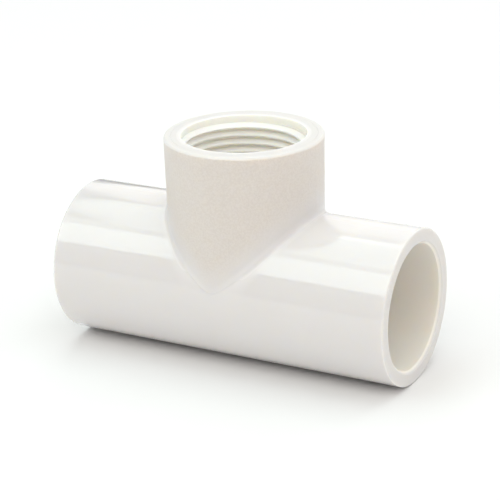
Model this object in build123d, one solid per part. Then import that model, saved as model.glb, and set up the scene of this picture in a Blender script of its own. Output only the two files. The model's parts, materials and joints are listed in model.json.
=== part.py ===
from build123d import *
from build123d.topology import SkipClean
from math import ceil, radians, tan
import os

# A 3/4 inch PVC tee: two solvent-weld sockets in line, and a branch with a female pipe thread.
# It is one injection moulding, so it is one solid. Millimetres. X runs along the two sockets and
# Z up the branch. The origin is on the underside of the run, below the crossing of the two axes.

# Run: the straight tube with a socket in each end
RUN_RADIUS = 16.7
RUN_LENGTH = 78.5
RUN_EDGE_ROUND = 0.35

# Sockets, for pipe of 26.7 mm outside diameter
SOCKET_RADIUS = 13.4
SOCKET_DEPTH = 25.4
SOCKET_MOUTH_CHAMFER = 0.6

# Waterways between the sockets and up into the branch
RUN_WATERWAY_RADIUS = 10.7
BRANCH_WATERWAY_RADIUS = 10.4
SHOULDER_CHAMFER = 0.5

# Branch: a boss that narrows a little towards the run
BRANCH_RISE = 32.8  # from the run's axis to the rim
RIM_RADIUS = 16.9
BRANCH_ROOT_RADIUS = 16.5  # at the height of the run's axis
RIM_EDGE_ROUND = 0.5
ROOT_FILLET = 1.0

# Mouth of the branch
COUNTERBORE_RADIUS = 13.25
COUNTERBORE_DEPTH = 1.5
COUNTERBORE_CHAMFER = 0.1
LEAD_IN_DEPTH = 0.85

# Female thread: parallel, 3/4 inch, 14 turns to the inch, 55 degree form with flat crests
THREAD_PITCH = 25.4 / 14
THREAD_MINOR_RADIUS = 24.117 / 2
THREAD_MAJOR_RADIUS = 26.441 / 2
THREAD_FLANK_ANGLE = 55 / 2
THREAD_FLAT = THREAD_PITCH / 6  # width of the flat at the bottom of the groove
THREAD_FLOOR_DEPTH = 17.2  # from the rim to the flat floor where the thread ends
THREAD_START_ANGLE = 244  # direction, from +X, where the groove's middle crosses that floor
GROOVE_OVERLAP = 0.15  # how far the groove's cutter stands into the open bore
CREST_SECTORS = 8  # the crest's cylinder is made as this many arcs to the turn

# Gate mark: a shallow flat with the stub of the sprue, under the middle of the run
GATE_RADIUS = 2.4
GATE_DEPTH = 0.3
GATE_STUB_RADIUS = 0.9
GATE_STUB_LENGTH = 0.15

# Heights and positions that follow from the above
AXIS_HEIGHT = RUN_RADIUS
RIM_HEIGHT = AXIS_HEIGHT + BRANCH_RISE
COUNTERBORE_FLOOR = RIM_HEIGHT - COUNTERBORE_DEPTH
LEAD_IN_FLOOR = COUNTERBORE_FLOOR - LEAD_IN_DEPTH
THREAD_FLOOR = RIM_HEIGHT - THREAD_FLOOR_DEPTH
RUN_END = RUN_LENGTH / 2
SHOULDER_X = RUN_END - SOCKET_DEPTH
BEYOND = 1.0  # how far a cutter goes on past an open end


def turned_about_z(*points):
    """A solid of revolution on the branch's axis, from (radius, height) points."""
    outline = Polyline(*[(radius, 0, height) for radius, height in points], close=True)
    return revolve(make_face(outline), Axis.Z)


def turned_about_x(*points):
    """A solid of revolution on the run's axis, from (position, radius) points."""
    outline = Polyline(*[(position, 0, radius) for position, radius in points], close=True)
    return Pos(Z=AXIS_HEIGHT) * revolve(make_face(outline), Axis.X)


def outer_shape():
    """Run and branch joined into one, with the fillet between them and the outer edges rounded."""
    run = turned_about_x((-RUN_END, 0), (-RUN_END, RUN_RADIUS), (RUN_END, RUN_RADIUS), (RUN_END, 0))
    branch = turned_about_z(
        (0, AXIS_HEIGHT), (BRANCH_ROOT_RADIUS, AXIS_HEIGHT), (RIM_RADIUS, RIM_HEIGHT), (0, RIM_HEIGHT)
    )
    shape = run + branch
    shape = fillet(shape.edges().filter_by(GeomType.BSPLINE), ROOT_FILLET)
    rim = shape.edges().filter_by(GeomType.CIRCLE).group_by(Axis.Z)[-1]
    shape = fillet(rim, RIM_EDGE_ROUND)
    for end in (0, -1):
        end_edge = shape.edges().filter_by(GeomType.CIRCLE).group_by(Axis.X)[end]
        shape = fillet(end_edge, RUN_EDGE_ROUND)
    return shape


def run_passage():
    """Everything that is empty along the run: both sockets, their shoulders and the waterway."""
    half = [
        (0, 0),
        (0, RUN_WATERWAY_RADIUS),
        (SHOULDER_X - SHOULDER_CHAMFER, RUN_WATERWAY_RADIUS),
        (SHOULDER_X, RUN_WATERWAY_RADIUS + SHOULDER_CHAMFER),
        (SHOULDER_X, SOCKET_RADIUS),
        (RUN_END - SOCKET_MOUTH_CHAMFER, SOCKET_RADIUS),
        (RUN_END + BEYOND, SOCKET_RADIUS + SOCKET_MOUTH_CHAMFER + BEYOND),
        (RUN_END + BEYOND, 0),
    ]
    right = turned_about_x(*half)
    return right + mirror(right, Plane.YZ)


def branch_passage():
    """Everything that is empty along the branch, apart from the threaded stretch."""
    waterway = turned_about_z(
        (0, AXIS_HEIGHT),
        (BRANCH_WATERWAY_RADIUS, AXIS_HEIGHT),
        (BRANCH_WATERWAY_RADIUS, THREAD_FLOOR - SHOULDER_CHAMFER),
        (BRANCH_WATERWAY_RADIUS + SHOULDER_CHAMFER, THREAD_FLOOR),
        (0, THREAD_FLOOR),
    )
    mouth = turned_about_z(
        (0, LEAD_IN_FLOOR),
        (THREAD_MINOR_RADIUS, LEAD_IN_FLOOR),
        (COUNTERBORE_RADIUS, COUNTERBORE_FLOOR),
        (COUNTERBORE_RADIUS, RIM_HEIGHT - COUNTERBORE_CHAMFER),
        (COUNTERBORE_RADIUS + COUNTERBORE_CHAMFER + BEYOND, RIM_HEIGHT + BEYOND),
        (0, RIM_HEIGHT + BEYOND),
    )
    return [waterway, mouth]


def crest_sectors():
    """The bore inside the thread's crests, as wedges, so that its wall is made of short arcs."""
    outline = Polyline(
        (0, 0, THREAD_FLOOR),
        (THREAD_MINOR_RADIUS, 0, THREAD_FLOOR),
        (THREAD_MINOR_RADIUS, 0, LEAD_IN_FLOOR),
        (0, 0, LEAD_IN_FLOOR),
        close=True,
    )
    arc = 360 / CREST_SECTORS
    wedge = revolve(make_face(outline), Axis.Z, revolution_arc=arc)
    return [Rot(Z=arc * number) * wedge for number in range(CREST_SECTORS)]


def thread_turns():
    """The thread's helical groove, one turn to a cutter, cut off flat at the thread's floor."""
    inner_radius = THREAD_MINOR_RADIUS - GROOVE_OVERLAP
    bottom_half = THREAD_FLAT / 2
    top_half = bottom_half + (THREAD_MAJOR_RADIUS - inner_radius) * tan(radians(THREAD_FLANK_ANGLE))
    outline = Polyline(
        (THREAD_MAJOR_RADIUS, 0, -bottom_half),
        (THREAD_MAJOR_RADIUS, 0, bottom_half),
        (inner_radius, 0, top_half),
        (inner_radius, 0, -top_half),
        close=True,
    )
    path = Helix(THREAD_PITCH, THREAD_PITCH, THREAD_MINOR_RADIUS)
    turn = Rot(Z=THREAD_START_ANGLE) * sweep(make_face(outline), path, is_frenet=True)
    start = THREAD_FLOOR - THREAD_PITCH
    below_floor = turned_about_z(
        (0, start - THREAD_PITCH),
        (RIM_RADIUS, start - THREAD_PITCH),
        (RIM_RADIUS, THREAD_FLOOR),
        (0, THREAD_FLOOR),
    )
    count = ceil((COUNTERBORE_FLOOR - start) / THREAD_PITCH) + 1
    return [Pos(Z=start + number * THREAD_PITCH) * turn - below_floor for number in range(count)]


def gate_mark():
    """The shallow recess round the sprue's stub."""
    stub_tip = GATE_DEPTH - GATE_STUB_LENGTH
    return turned_about_z(
        (0, -BEYOND),
        (GATE_RADIUS, -BEYOND),
        (GATE_RADIUS, GATE_DEPTH),
        (GATE_STUB_RADIUS, GATE_DEPTH),
        (GATE_STUB_RADIUS, stub_tip),
        (0, stub_tip),
    )


def tee_body():
    """The whole moulding. Its faces aren't merged, so that the crest's arcs stay apart."""
    body = outer_shape() - run_passage() - gate_mark()
    with SkipClean():
        for cutter in branch_passage() + crest_sectors() + thread_turns():
            body = body - cutter
    return body


os.makedirs("parts", exist_ok=True)
export_step(tee_body(), "parts/tee_body.step")
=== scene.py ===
import json
from math import cos, pi, radians, sin
from types import SimpleNamespace

import bpy
from mathutils import Matrix, Vector


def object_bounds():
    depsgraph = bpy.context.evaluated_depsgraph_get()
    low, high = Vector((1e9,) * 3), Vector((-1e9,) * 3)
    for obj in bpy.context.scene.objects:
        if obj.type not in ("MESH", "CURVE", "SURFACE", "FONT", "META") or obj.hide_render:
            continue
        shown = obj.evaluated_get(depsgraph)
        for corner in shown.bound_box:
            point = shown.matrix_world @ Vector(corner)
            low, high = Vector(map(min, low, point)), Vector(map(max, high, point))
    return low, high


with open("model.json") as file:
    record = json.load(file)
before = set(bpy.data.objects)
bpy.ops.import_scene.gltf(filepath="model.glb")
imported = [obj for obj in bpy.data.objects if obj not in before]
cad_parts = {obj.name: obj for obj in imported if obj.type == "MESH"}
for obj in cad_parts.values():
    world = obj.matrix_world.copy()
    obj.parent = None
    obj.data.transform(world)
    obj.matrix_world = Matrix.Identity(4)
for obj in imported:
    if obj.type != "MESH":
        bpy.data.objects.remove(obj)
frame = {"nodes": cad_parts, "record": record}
cad_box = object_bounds()

# Sizes below are in metres. The tee lies with its run along X and its branch up Z.
BODY = frame["nodes"]["tee_body"]
MOUNTS = {mount["name"]: mount for mount in frame["record"]["mounts"]}
RUN_AXIS_HEIGHT = MOUNTS["socket_plus_x"]["pos_m"][2]
RUN_RADIUS = RUN_AXIS_HEIGHT
SOCKET_RADIUS = MOUNTS["socket_plus_x"]["dims"]["r_mm"] / 1000
THREAD_RADIUS = MOUNTS["branch_thread"]["dims"]["r_mm"] / 1000
MOUTH_RADIUS = THREAD_RADIUS + 0.0012  # the counterbore above the thread
RING_RADIUS = MOUTH_RADIUS + 0.0022  # a faint line on the rim's face
RIM_HEIGHT = MOUNTS["branch_rim"]["pos_m"][2]
BRANCH_RADIUS = RUN_RADIUS - 0.0001  # where it meets the run
RUN_END = cad_box[1][0]

# Finish of the plastic, with its painted light and shade: the zones' edges, in metres, and their colours
GRAIN_FADE_HEIGHT = 0.009  # above the run, where the branch's grain is at its full strength
JOINT_CORE = 0.0006  # from the run, where the joint's zone starts to fade
JOINT_REACH = 0.0022  # and where it has gone
RING_HALF_WIDTH = 0.00018
GRAIN_DEPTH = 0.10  # as a share of BUMP_DISTANCE, like the ring's
RING_DEPTH = 0.06
BUMP_DISTANCE = 0.001
SMOOTH_COLOURS = ((0.740, 0.710, 0.700, 1), (0.757, 0.732, 0.722, 1))
GRAINED_SHADED_COLOURS = ((0.704, 0.650, 0.606, 1), (0.746, 0.696, 0.654, 1))
JOINT_PAINTED_GLOW_COLOUR = (0.800, 0.772, 0.760, 1)
MATT_FACE_PAINTED_SHADE_COLOUR = (0.715, 0.690, 0.675, 1)
RUN_BORE_PAINTED_LIGHT_COLOUR = (0.885, 0.850, 0.795, 1)
BRANCH_BORE_PAINTED_LIGHT_COLOUR = (0.985, 0.950, 0.880, 1)

# Floor
FLOOR_SIZE = 8
FLOOR_COLOUR = (0.86, 0.85, 0.85, 1)

# Camera: where it stands, seen from the tee, in degrees and metres; its lens and sensor in millimetres
CAMERA_AZIMUTH = 28.92
CAMERA_ELEVATION = 20.87
CAMERA_ROLL = -1.76
CAMERA_DISTANCE = 24.17 * RUN_RADIUS
CAMERA_TARGET = Vector((0.036 * RUN_RADIUS, 0, RUN_AXIS_HEIGHT + 0.402 * RUN_RADIUS))
LENS = 135.8
SENSOR = 36

# Light: soft boxes that face the run from a direction seen from the tee, and the room's dim glow.
# Azimuth 0 is -Y, 90 is +X. Positions and sizes are in metres, angles in degrees
LIGHT_DISTANCE = 1.2
COOL = (0.88, 1.0, 0.99)
NEUTRAL = (1.0, 0.98, 0.96)
WARM = (1.0, 0.93, 0.86)
LIGHTS = [
    # name, position along the run, azimuth, elevation, width, height, strength, tint
    ("key_left", -0.60, 0, 47, 0.80, 0.64, 2.2, COOL),
    ("key_right", 0.35, 0, 47, 1.10, 0.64, 2.2, WARM),
    ("high_left", -0.50, 0, 67, 0.80, 0.26, 1.1, COOL),
    ("high_right", 0.40, 0, 67, 1.00, 0.26, 0.4, COOL),
    ("low", -0.60, 0, 16, 1.20, 0.64, 0.5, NEUTRAL),
    ("top", 0.0, 0, 94, 1.60, 0.96, 1.5, COOL),
    ("right", 0.0, 90, 25, 1.00, 1.00, 1.1, NEUTRAL),
    ("left", 0.0, -90, 25, 1.00, 1.00, 0.4, NEUTRAL),
    ("back", 0.0, 180, 35, 1.60, 1.64, 0.75, NEUTRAL),
    ("back_left", 0.0, -140, 30, 1.00, 0.80, 0.25, NEUTRAL),
    ("back_right", 0.0, 140, 30, 1.00, 0.80, 0.25, NEUTRAL),
]
ROOM_GLOW = (0.25, 0.25, 0.25)


class Graph:
    """Builds a material's nodes. A method adds the nodes for one step and returns their output."""

    def __init__(self, material):
        material.use_nodes = True
        self.tree = material.node_tree
        self.shader = self.tree.nodes["Principled BSDF"]

    def feed(self, socket, value):
        """Gives a socket a constant, or the output of another node. Adds no node."""
        if isinstance(value, bpy.types.NodeSocket):
            self.tree.links.new(value, socket)
        else:
            socket.default_value = value

    def math(self, operation, *values):
        """One arithmetic step on numbers, each a constant or the output of another node."""
        node = self.tree.nodes.new("ShaderNodeMath")
        node.operation = operation
        for socket, value in zip(node.inputs, values):
            self.feed(socket, value)
        return node.outputs[0]

    def axes(self):
        """The X, Y and Z of the point being shaded, in the tee's own frame."""
        place = self.tree.nodes.new("ShaderNodeTexCoord")
        split = self.tree.nodes.new("ShaderNodeSeparateXYZ")
        self.tree.links.new(place.outputs["Object"], split.inputs[0])
        return place.outputs["Object"], split.outputs

    def length(self, a, b):
        """The distance of a point from an axis, from its two coordinates across the axis."""
        squares = self.math("ADD", self.math("MULTIPLY", a, a), self.math("MULTIPLY", b, b))
        return self.math("SQRT", squares)

    def ramp(self, value, start, end):
        """0 below start, 1 above end, and smooth between them."""
        node = self.tree.nodes.new("ShaderNodeMapRange")
        node.interpolation_type = "SMOOTHSTEP"
        self.feed(node.inputs["Value"], value)
        node.inputs["From Min"].default_value = start
        node.inputs["From Max"].default_value = end
        return node.outputs[0]

    def noise(self, place, scale, detail, roughness=0.5):
        node = self.tree.nodes.new("ShaderNodeTexNoise")
        self.feed(node.inputs["Vector"], place)
        node.inputs["Scale"].default_value = scale
        node.inputs["Detail"].default_value = detail
        node.inputs["Roughness"].default_value = roughness
        return node.outputs[0]

    def scaled(self, place, factors):
        node = self.tree.nodes.new("ShaderNodeVectorMath")
        node.operation = "MULTIPLY"
        self.feed(node.inputs[0], place)
        self.feed(node.inputs[1], factors)
        return node.outputs[0]

    def blend(self, factor, first, second):
        """A number that goes from first to second as factor goes from 0 to 1."""
        node = self.tree.nodes.new("ShaderNodeMix")
        self.feed(node.inputs[0], factor)
        self.feed(node.inputs[2], first)
        self.feed(node.inputs[3], second)
        return node.outputs[0]

    def blend_colour(self, factor, first, second):
        node = self.tree.nodes.new("ShaderNodeMix")
        node.data_type = "RGBA"
        self.feed(node.inputs[0], factor)
        self.feed(node.inputs[6], first)
        self.feed(node.inputs[7], second)
        return node.outputs[2]

    def bump(self, height, distance):
        node = self.tree.nodes.new("ShaderNodeBump")
        node.inputs["Strength"].default_value = 1.0
        node.inputs["Distance"].default_value = distance
        self.feed(node.inputs["Height"], height)
        return node.outputs[0]


def zones(graph, x, y, z):
    """How far each point lies in each of the surface's zones, from 0 to 1."""
    above_axis = graph.math("SUBTRACT", z, RUN_AXIS_HEIGHT)
    below_rim = graph.math("SUBTRACT", RIM_HEIGHT, z)
    from_run_axis = graph.length(y, above_axis)
    from_branch_axis = graph.length(x, y)

    # Height above the run's surface, which is 0 all over the upper half of the run itself
    half_chord_squared = graph.math("SUBTRACT", RUN_RADIUS**2, graph.math("MULTIPLY", y, y))
    half_chord = graph.math("SQRT", graph.math("MAXIMUM", half_chord_squared, 0.0))
    above_run = graph.math("SUBTRACT", above_axis, half_chord)

    # The grain comes in slowly above the joint with the run, and stops short of the rim
    grain_fades_in = graph.ramp(above_run, 0.0, GRAIN_FADE_HEIGHT)
    outside_mouth = graph.ramp(from_branch_axis, MOUTH_RADIUS + 0.0007, MOUTH_RADIUS + 0.0011)
    clear_of_rim = graph.ramp(below_rim, 0.0003, 0.0006)
    grained = graph.math("MULTIPLY", graph.math("MULTIPLY", grain_fades_in, outside_mouth), clear_of_rim)

    # The joint is the palest, where the two walls light each other. It fades out at its lowest point
    outside_run = graph.ramp(from_run_axis, RUN_RADIUS - 0.0004, RUN_RADIUS - 0.0001)
    near_branch = graph.ramp(from_branch_axis, BRANCH_RADIUS + 0.0018, BRANCH_RADIUS + 0.0002)
    near_both = graph.math("MULTIPLY", near_branch, graph.ramp(above_run, JOINT_REACH, JOINT_CORE))
    upper_half = graph.math("MULTIPLY", outside_run, graph.ramp(above_axis, 0.001, 0.008))
    joint = graph.math("MULTIPLY", near_both, upper_half)

    # The run's outside is the most polished part
    clear_of_joint = graph.math("SUBTRACT", 1.0, joint)
    on_run = graph.math("MULTIPLY", outside_run, graph.ramp(above_run, JOINT_CORE, 0.0))
    polished = graph.math("MULTIPLY", on_run, clear_of_joint)

    # The flat faces at the three openings are matt, and their colour is darkened as painted shade
    end_face = graph.ramp(graph.math("ABSOLUTE", x), RUN_END - 0.0003, RUN_END - 0.0001)
    rim_face = graph.math("MULTIPLY", graph.ramp(below_rim, 0.0004, 0.0001), outside_mouth)
    matt_face = graph.math("MAXIMUM", end_face, rim_face)

    # The bores of the branch and the run, whose paler colours are painted light
    within_mouth = graph.ramp(from_branch_axis, MOUTH_RADIUS + 0.0004, MOUTH_RADIUS)
    in_branch = graph.math("MULTIPLY", graph.ramp(above_axis, -0.001, 0.0), within_mouth)
    in_run = graph.ramp(from_run_axis, SOCKET_RADIUS + 0.0005, SOCKET_RADIUS + 0.0001)

    # A faint ring on the rim's face, left by the edge of the thread's core
    from_ring = graph.math("ABSOLUTE", graph.math("SUBTRACT", from_branch_axis, RING_RADIUS))
    on_rim = graph.ramp(below_rim, 0.0002, 0.0001)
    ring = graph.math("MULTIPLY", graph.ramp(from_ring, RING_HALF_WIDTH, 0.0), on_rim)
    return SimpleNamespace(
        grained=grained,
        joint=joint,
        polished=polished,
        matt_face=matt_face,
        in_branch=in_branch,
        in_run=in_run,
        ring=ring,
    )


def pvc_colour(graph, zone, cloudy, speckle):
    smooth = graph.blend_colour(cloudy, *SMOOTH_COLOURS)
    # The branch's speckle is its real grain; its darker, warmer tone than the run's is painted shade
    grained = graph.blend_colour(speckle, *GRAINED_SHADED_COLOURS)
    colour = graph.blend_colour(zone.grained, smooth, grained)
    # A paler colour at the joint: a painted glow where the two walls light each other
    colour = graph.blend_colour(zone.joint, colour, JOINT_PAINTED_GLOW_COLOUR)
    # A darker colour on the openings' flat faces: painted shade
    colour = graph.blend_colour(zone.matt_face, colour, MATT_FACE_PAINTED_SHADE_COLOUR)
    # Paler, warmer colours in the bores and threads: painted light from light bouncing inside them
    colour = graph.blend_colour(zone.in_run, colour, RUN_BORE_PAINTED_LIGHT_COLOUR)
    return graph.blend_colour(zone.in_branch, colour, BRANCH_BORE_PAINTED_LIGHT_COLOUR)


def pvc_roughness(graph, zone, smear, speckle):
    smooth = graph.blend(zone.polished, 0.30, graph.blend(smear, 0.08, 0.16))
    grained = graph.blend(speckle, 0.44, 0.56)
    roughness = graph.blend(zone.grained, smooth, grained)
    return graph.blend(zone.matt_face, roughness, 0.5)


def pvc_bump(graph, zone, fine):
    grain = graph.math("MULTIPLY", graph.math("SUBTRACT", fine, 0.5), zone.grained)
    grain_height = graph.math("MULTIPLY", grain, GRAIN_DEPTH)
    ring_depth = graph.math("MULTIPLY", zone.ring, RING_DEPTH)
    return graph.bump(graph.math("SUBTRACT", grain_height, ring_depth), BUMP_DISTANCE)


def white_pvc():
    """Rigid white PVC: glossy on the run, finely grained on the branch's outside, matt at the openings.
    Its colour holds painted light in the bores and at the joint, and painted shade on the openings' faces
    and the branch's outside.
    """
    material = bpy.data.materials.new("white_pvc")
    graph = Graph(material)
    place, (x, y, z) = graph.axes()
    zone = zones(graph, x, y, z)
    cloudy = graph.noise(place, 90.0, 3.0)
    fine = graph.noise(place, 2300.0, 2.0, 0.7)
    speckle = graph.ramp(fine, 0.35, 0.65)
    drawn_along_run = graph.scaled(place, (0.12, 1, 1))
    smear = graph.noise(drawn_along_run, 420.0, 3.0)

    inputs = graph.shader.inputs
    graph.feed(inputs["Base Color"], pvc_colour(graph, zone, cloudy, speckle))
    graph.feed(inputs["Roughness"], pvc_roughness(graph, zone, smear, speckle))
    graph.feed(inputs["Normal"], pvc_bump(graph, zone, fine))
    graph.feed(inputs["Coat Weight"], zone.polished)
    inputs["Coat Roughness"].default_value = 0.07
    inputs["IOR"].default_value = 1.53
    inputs["Subsurface Weight"].default_value = 1.0
    inputs["Subsurface Radius"].default_value = (1.0, 0.9, 0.7)
    inputs["Subsurface Scale"].default_value = 0.0015
    return material


def dress_tee():
    material = white_pvc()
    BODY.data.materials.clear()
    BODY.data.materials.append(material)


def floor():
    """A pale matt floor."""
    bpy.ops.mesh.primitive_plane_add(size=FLOOR_SIZE, location=(0, 0, 0))
    plane = bpy.context.object
    plane.name = "floor"
    material = bpy.data.materials.new("floor_white")
    graph = Graph(material)
    graph.shader.inputs["Base Color"].default_value = FLOOR_COLOUR
    graph.shader.inputs["Roughness"].default_value = 0.9
    graph.shader.inputs["Specular IOR Level"].default_value = 0.0
    plane.data.materials.append(material)


def softbox(name, x, azimuth, elevation, width, height, strength, tint):
    """An area light that faces the tee's run at x, from a direction seen from the tee."""
    light = bpy.data.lights.new(name, "AREA")
    light.shape = "RECTANGLE"
    light.size = width
    light.size_y = height
    light.energy = strength * pi * width * height
    light.color = tint
    lamp = bpy.data.objects.new(name, light)
    azimuth, elevation = radians(azimuth), radians(elevation)
    back = Vector((sin(azimuth) * cos(elevation), -cos(azimuth) * cos(elevation), sin(elevation)))
    right = Vector((cos(azimuth), sin(azimuth), 0))
    turn = Matrix((right, back.cross(right), back)).transposed().to_4x4()
    lamp.matrix_world = Matrix.Translation(Vector((x, 0, RUN_AXIS_HEIGHT)) + back * LIGHT_DISTANCE) @ turn
    lamp.visible_camera = False
    bpy.context.collection.objects.link(lamp)


def studio_light():
    world = bpy.data.worlds.new("studio")
    world.use_nodes = True
    background = world.node_tree.nodes["Background"]
    background.inputs["Color"].default_value = (*ROOM_GLOW, 1)
    background.inputs["Strength"].default_value = 1.0
    bpy.context.scene.world = world
    for light in LIGHTS:
        softbox(*light)


def camera():
    azimuth, elevation, roll = radians(CAMERA_AZIMUTH), radians(CAMERA_ELEVATION), radians(CAMERA_ROLL)
    back = Vector((sin(azimuth) * cos(elevation), -cos(azimuth) * cos(elevation), sin(elevation)))
    level_right = Vector((cos(azimuth), sin(azimuth), 0))
    level_up = back.cross(level_right)
    right = level_right * cos(roll) + level_up * sin(roll)
    up = level_up * cos(roll) - level_right * sin(roll)
    data = bpy.data.cameras.new("camera")
    data.lens = LENS
    data.sensor_width = SENSOR
    data.clip_start = 0.01
    view = bpy.data.objects.new("camera", data)
    turn = Matrix((right, up, back)).transposed().to_4x4()
    view.matrix_world = Matrix.Translation(CAMERA_TARGET + back * CAMERA_DISTANCE) @ turn
    bpy.context.collection.objects.link(view)
    bpy.context.scene.camera = view


dress_tee()
floor()
studio_light()
camera()
bpy.context.scene.view_settings.view_transform = "Standard"
